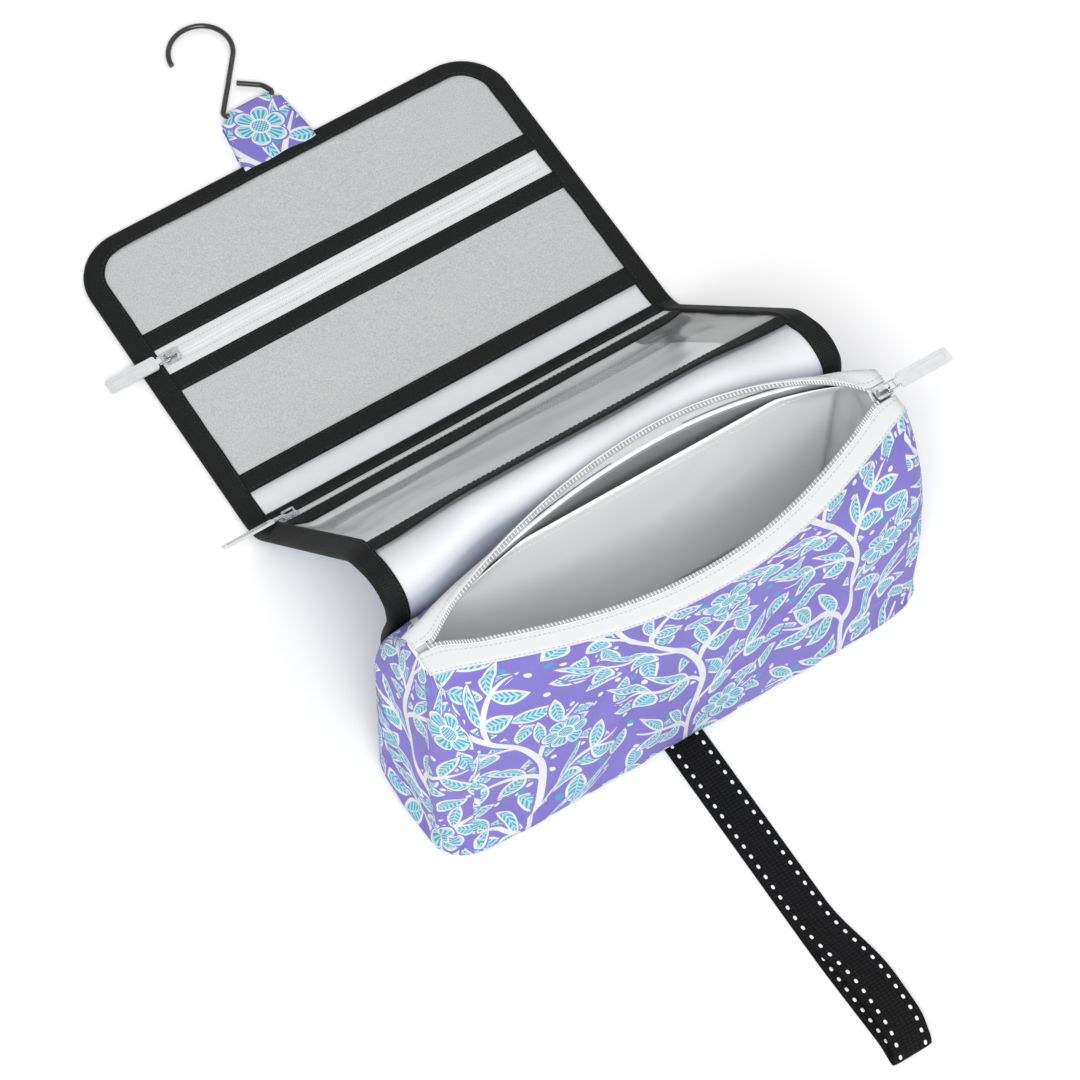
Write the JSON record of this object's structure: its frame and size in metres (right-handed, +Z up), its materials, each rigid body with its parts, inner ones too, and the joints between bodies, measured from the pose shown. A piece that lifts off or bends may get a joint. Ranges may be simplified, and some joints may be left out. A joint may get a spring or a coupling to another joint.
{
  "type": "hanging toiletry bag",
  "caption": "Fabric toiletry pouch with a zipped mouth, a folding flap with zipped pockets, a wire hanging hook and a doubled webbing strap, laid open on a table.",
  "frame": {"origin": "centre of the pouch's base, on the table", "axes": "+Z up; +X to the pouch's right, towards the end where the main zip's slider stands; +Y from the pouch towards the hook, along the opened flap"},
  "size_m": [0.3484, 0.7751, 0.1887],
  "materials": {
    "print_fabric": "printed woven polyester with a white and blue leaf pattern on lilac",
    "lining_fabric": "light grey woven lining",
    "board": "thin stiffening sheet",
    "foam": "thin foam padding",
    "binding": "black ribbed grosgrain",
    "zip_tape": "white woven zip tape",
    "zip_teeth": "white nylon coil",
    "panel_fabric": "light grey melange fabric",
    "clear_vinyl": "clear flexible vinyl sheet",
    "webbing": "black polyester webbing with white edge stitching",
    "hook_wire": "black coated steel wire, satin",
    "slider_metal": "nickel plated zinc",
    "pull_plastic": "frosted clear moulded plastic"
  },
  "bodies": {
    "bag": {"pouch_base": "print_fabric", "pouch_front": "print_fabric", "pouch_rear": "print_fabric", "pouch_left_end": "print_fabric", "pouch_right_end": "print_fabric", "pouch_lining": "lining_fabric", "base_board": "board", "inner_divider": "lining_fabric", "front_zip_tape": "zip_tape", "front_zip_chain": "zip_teeth", "rear_zip_tape": "zip_tape", "rear_zip_chain": "zip_teeth", "main_zip_end_tapes": "zip_tape", "rear_flap_outer": "print_fabric", "rear_flap_foam": "foam", "rear_flap_lining": "lining_fabric", "rear_flap_bindings": "binding", "ridge_fold_fabric": "print_fabric", "strap_anchor_end": "webbing"},
    "middle_flap": {"middle_flap_outer": "print_fabric", "middle_flap_foam": "foam", "middle_flap_lining": "lining_fabric", "middle_flap_bindings": "binding", "window_zip_foot_strip": "binding", "window_zip_edge_strip": "binding", "clear_window": "clear_vinyl", "ridge_strip": "binding", "window_zip_tapes": "zip_tape", "window_zip_chain": "zip_teeth", "foot_fold_fabric": "print_fabric"},
    "upper_flap": {"upper_flap_outer": "print_fabric", "upper_flap_foam": "foam", "upper_flap_lining": "lining_fabric", "upper_flap_binding": "binding", "header_panel": "panel_fabric", "mesh_pocket_panel": "panel_fabric", "pocket_base_strip": "binding", "mesh_zip_lower_strip": "binding", "mesh_zip_upper_strip": "binding", "mesh_zip_tapes": "zip_tape", "mesh_zip_chain": "zip_teeth", "hanger_tab": "print_fabric"},
    "hook": {"wire_hook": "hook_wire"},
    "strap": {"carry_strap": "webbing"},
    "main_slider": {"main_slider_body": "slider_metal", "main_slider_bridge": "slider_metal"},
    "main_pull": {"main_pull_link": "slider_metal", "main_pull_tab": "pull_plastic"},
    "upper_slider": {"upper_slider_body": "slider_metal", "upper_slider_bridge": "slider_metal"},
    "upper_pull": {"upper_pull_link": "slider_metal", "upper_pull_tab": "pull_plastic"},
    "lower_slider": {"lower_slider_body": "slider_metal", "lower_slider_bridge": "slider_metal"},
    "lower_pull": {"lower_pull_link": "slider_metal", "lower_pull_tab": "pull_plastic"}
  },
  "joints": [
    {"name": "ridge_fold", "type": "hinge", "parent": "bag", "child": "middle_flap", "pos_m": [0, 0.056, 0.178], "axis": [1, 0, 0], "range_deg": [0, 160], "deforming": ["ridge_fold_fabric"]},
    {"name": "foot_fold", "type": "hinge", "parent": "middle_flap", "child": "upper_flap", "pos_m": [0, 0.203, 0.0023], "axis": [-1, 0, 0], "range_deg": [-115, 53], "deforming": ["foot_fold_fabric"]},
    {"name": "hook_swing", "type": "hinge", "parent": "upper_flap", "child": "hook", "pos_m": [0, 0.44, 0.0032], "axis": [1, 0, 0], "range_deg": [-120, 120]},
    {"name": "strap_swing", "type": "hinge", "parent": "bag", "child": "strap", "pos_m": [0, -0.0521, 0.0009], "axis": [-1, 0, 0], "range_deg": [-90, 85]},
    {"name": "main_zip_slide", "type": "slide", "parent": "bag", "child": "main_slider", "axis": [-1, 0, 0], "range_m": [0, 0.284]},
    {"name": "main_pull_flip", "type": "hinge", "parent": "main_slider", "child": "main_pull", "pos_m": [0.1446, 0, 0.18015], "axis": [0, -1, 0], "range_deg": [-8, 135]},
    {"name": "upper_zip_slide", "type": "slide", "parent": "upper_flap", "child": "upper_slider", "axis": [1, 0, 0], "range_m": [0, 0.242]},
    {"name": "upper_pull_flip", "type": "hinge", "parent": "upper_slider", "child": "upper_pull", "pos_m": [-0.1246, 0.3135, 0.00885], "axis": [0, 1, 0], "range_deg": [-8, 135]},
    {"name": "lower_zip_slide", "type": "slide", "parent": "middle_flap", "child": "lower_slider", "axis": [1, 0, 0], "range_m": [0, 0.242]},
    {"name": "lower_pull_flip", "type": "hinge", "parent": "lower_slider", "child": "lower_pull", "pos_m": [-0.1246, 0.18179, 0.02359], "axis": [0, 0.5982, -0.8014], "range_deg": [-8, 135]}
  ]
}
